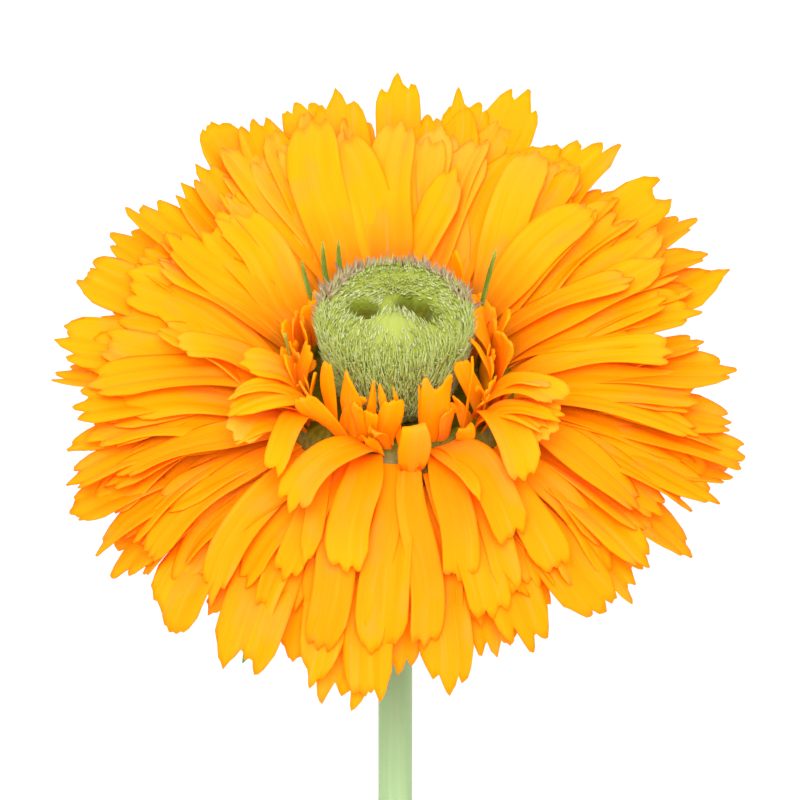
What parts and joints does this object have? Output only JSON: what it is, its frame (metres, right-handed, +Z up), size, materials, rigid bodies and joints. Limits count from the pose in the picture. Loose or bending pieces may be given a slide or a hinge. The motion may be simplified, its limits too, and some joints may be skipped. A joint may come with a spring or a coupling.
{
  "type": "marigold flower",
  "caption": "Double orange-yellow marigold bloom with a green button of a disc, cut with a length of stem and laid on a surface with its face turned up.",
  "frame": {"origin": "middle of the whole flower's footprint, on the surface it lies on", "axes": "+Y along the stem towards the head, +Z up from the surface"},
  "size_m": [0.08, 0.1228, 0.0399],
  "materials": {
    "petals": "satin",
    "disc": "matte, downy",
    "bracts": "matte",
    "stem": "satin"
  },
  "bodies": {
    "root": {"ray_florets": "petals", "disc": "disc", "involucre": "bracts", "stem": "stem"}
  },
  "joints": []
}
